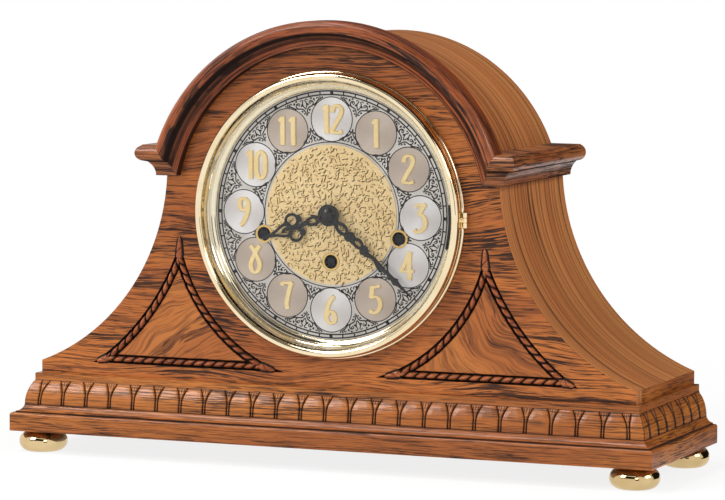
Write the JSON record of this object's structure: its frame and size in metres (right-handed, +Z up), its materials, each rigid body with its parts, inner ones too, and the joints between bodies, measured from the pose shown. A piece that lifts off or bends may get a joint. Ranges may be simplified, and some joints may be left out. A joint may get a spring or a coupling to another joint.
{
  "type": "tambour mantel clock",
  "caption": "Tambour mantel clock in oak with rope-carved triangles, arched hood, round brass bezel, chiming spring movement, hinged glass and back door",
  "frame": {"origin": "on the surface the feet stand on, under the middle of the bounding box", "axes": "+X to the right seen from the front, +Y to the back, +Z up"},
  "size_m": [0.444, 0.142, 0.2868],
  "materials": {
    "moulding_oak": "dark stained oak, satin lacquer",
    "front_oak": "stained quarter oak, satin lacquer",
    "side_oak": "stained oak veneer, satin lacquer",
    "back_wood": "plain stained board",
    "inlay_veneer": "figured veneer, satin lacquer",
    "polished_brass": "polished and lacquered",
    "movement_brass": "satin",
    "steel": "bright drawn",
    "black_hands": "gloss black enamel",
    "glass": "clear convex",
    "silvered_dial": "brushed silvered metal, printed",
    "gilt_dial": "embossed gilt",
    "cast_iron": "painted cast iron"
  },
  "bodies": {
    "case": {"base_board": "moulding_oak", "frieze_front": "moulding_oak", "frieze_left": "moulding_oak", "frieze_right": "moulding_oak", "bun_feet": "polished_brass", "floor_board": "side_oak", "front_panel": "front_oak", "rope_left": "moulding_oak", "rope_right": "moulding_oak", "inlay_left": "inlay_veneer", "inlay_right": "inlay_veneer", "arch_top": "side_oak", "side_left": "side_oak", "side_right": "side_oak", "hood_moulding": "moulding_oak", "capital_left": "moulding_oak", "capital_right": "moulding_oak", "back_frame": "back_wood", "door_hinge_frame_leaves": "movement_brass", "door_catch": "steel", "bezel_hinge_leaf": "polished_brass", "dial_plate": "silvered_dial", "dial_centre": "gilt_dial", "sight_ring": "polished_brass", "winding_grommets": "polished_brass", "front_plate": "movement_brass", "back_plate": "movement_brass", "plate_pillars": "steel", "movement_straps": "steel", "chime_block": "cast_iron", "tone_rods": "steel"},
    "bezel": {"bezel_ring": "polished_brass", "bezel_glass": "glass", "bezel_glass_ring": "polished_brass"},
    "back_door": {"door_panel": "back_wood", "door_knob": "polished_brass", "door_hinge_leaves": "movement_brass"},
    "minute_work": {"centre_arbor": "steel", "minute_hand": "black_hands", "hand_nut": "black_hands"},
    "hour_work": {"hour_wheel": "movement_brass", "hour_hand": "black_hands"},
    "motion": {"motion_wheel": "movement_brass"},
    "intermediate": {"intermediate_wheel": "movement_brass"},
    "time_drive": {"time_barrel": "movement_brass"},
    "third": {"third_wheel": "movement_brass"},
    "escape": {"escape_wheel": "movement_brass"},
    "pallets": {"pallet_lever": "steel"},
    "balance": {"balance_wheel": "movement_brass"},
    "strike_drive": {"strike_barrel": "movement_brass"},
    "strike_pins": {"strike_wheel": "movement_brass"},
    "chime_drive": {"chime_barrel": "movement_brass"},
    "chime_cams": {"chime_drum": "movement_brass"},
    "time_winder": {"time_winding_arbor": "steel"},
    "strike_winder": {"strike_winding_arbor": "steel"},
    "chime_winder": {"chime_winding_arbor": "steel"},
    "hammer_1": {"hammer_1": "movement_brass"},
    "hammer_2": {"hammer_2": "movement_brass"},
    "hammer_3": {"hammer_3": "movement_brass"},
    "hammer_4": {"hammer_4": "movement_brass"}
  },
  "joints": [
    {"name": "bezel_swing", "type": "hinge", "parent": "case", "child": "bezel", "pos_m": [0.093, -0.0573, 0.1628], "axis": [0, 0, 1], "range_deg": [0, 100]},
    {"name": "back_door_swing", "type": "hinge", "parent": "case", "child": "back_door", "pos_m": [0.086, 0.066, 0.1628], "axis": [0, 0, -1], "range_deg": [0, 110]},
    {"name": "minute_turn", "type": "hinge", "parent": "case", "child": "minute_work", "pos_m": [0, 0, 0.1628], "axis": [0, 1, 0], "continuous": true},
    {"name": "hour_turn", "type": "hinge", "parent": "case", "child": "hour_work", "pos_m": [0, 0, 0.1628], "axis": [0, 1, 0], "continuous": true},
    {"name": "motion_turn", "type": "hinge", "parent": "case", "child": "motion", "pos_m": [0.01018, 0, 0.17298], "axis": [0, 1, 0], "continuous": true},
    {"name": "intermediate_turn", "type": "hinge", "parent": "case", "child": "intermediate", "pos_m": [-0.02013, 0, 0.15726], "axis": [0, 1, 0], "continuous": true},
    {"name": "time_barrel_turn", "type": "hinge", "parent": "case", "child": "time_drive", "pos_m": [0, 0, 0.1328], "axis": [0, 1, 0], "continuous": true},
    {"name": "third_turn", "type": "hinge", "parent": "case", "child": "third", "pos_m": [0, 0, 0.18128], "axis": [0, 1, 0], "continuous": true},
    {"name": "escape_turn", "type": "hinge", "parent": "case", "child": "escape", "pos_m": [0, 0, 0.19528], "axis": [0, 1, 0], "continuous": true},
    {"name": "pallet_rock", "type": "hinge", "parent": "case", "child": "pallets", "pos_m": [0, 0, 0.20678], "axis": [0, 1, 0], "range_deg": [-5, 5]},
    {"name": "balance_swing", "type": "hinge", "parent": "case", "child": "balance", "pos_m": [0.016, 0, 0.20678], "axis": [0, 1, 0], "range_deg": [-135, 135]},
    {"name": "strike_barrel_turn", "type": "hinge", "parent": "case", "child": "strike_drive", "pos_m": [-0.0467, 0, 0.149], "axis": [0, 1, 0], "continuous": true},
    {"name": "strike_wheel_turn", "type": "hinge", "parent": "case", "child": "strike_pins", "pos_m": [-0.0467, 0, 0.177], "axis": [0, 1, 0], "continuous": true},
    {"name": "chime_barrel_turn", "type": "hinge", "parent": "case", "child": "chime_drive", "pos_m": [0.0467, 0, 0.149], "axis": [0, 1, 0], "continuous": true},
    {"name": "chime_drum_turn", "type": "hinge", "parent": "case", "child": "chime_cams", "pos_m": [0.0467, 0, 0.177], "axis": [0, 1, 0], "continuous": true},
    {"name": "time_winding", "type": "hinge", "parent": "case", "child": "time_winder", "pos_m": [0, 0, 0.1328], "axis": [0, 1, 0], "continuous": true},
    {"name": "strike_winding", "type": "hinge", "parent": "case", "child": "strike_winder", "pos_m": [-0.0467, 0, 0.149], "axis": [0, 1, 0], "continuous": true},
    {"name": "chime_winding", "type": "hinge", "parent": "case", "child": "chime_winder", "pos_m": [0.0467, 0, 0.149], "axis": [0, 1, 0], "continuous": true},
    {"name": "hammer_1_lift", "type": "hinge", "parent": "case", "child": "hammer_1", "pos_m": [0.01, 0.011, 0.108], "axis": [0, 1, 0], "range_deg": [0, 15]},
    {"name": "hammer_2_lift", "type": "hinge", "parent": "case", "child": "hammer_2", "pos_m": [0.01, 0.02, 0.108], "axis": [0, 1, 0], "range_deg": [0, 15]},
    {"name": "hammer_3_lift", "type": "hinge", "parent": "case", "child": "hammer_3", "pos_m": [0.01, 0.029, 0.108], "axis": [0, 1, 0], "range_deg": [0, 15]},
    {"name": "hammer_4_lift", "type": "hinge", "parent": "case", "child": "hammer_4", "pos_m": [0.01, 0.038, 0.108], "axis": [0, 1, 0], "range_deg": [0, 15]}
  ],
  "couplings": [
    {"joint": "hour_turn", "follows": "minute_turn", "ratio": 0.083333},
    {"joint": "motion_turn", "follows": "minute_turn", "ratio": -0.33333},
    {"joint": "intermediate_turn", "follows": "minute_turn", "ratio": -0.20833},
    {"joint": "time_barrel_turn", "follows": "minute_turn", "ratio": 0.041667},
    {"joint": "third_turn", "follows": "minute_turn", "ratio": -6},
    {"joint": "escape_turn", "follows": "minute_turn", "ratio": 36},
    {"joint": "strike_wheel_turn", "follows": "strike_barrel_turn", "ratio": -6},
    {"joint": "chime_drum_turn", "follows": "chime_barrel_turn", "ratio": -6}
  ]
}
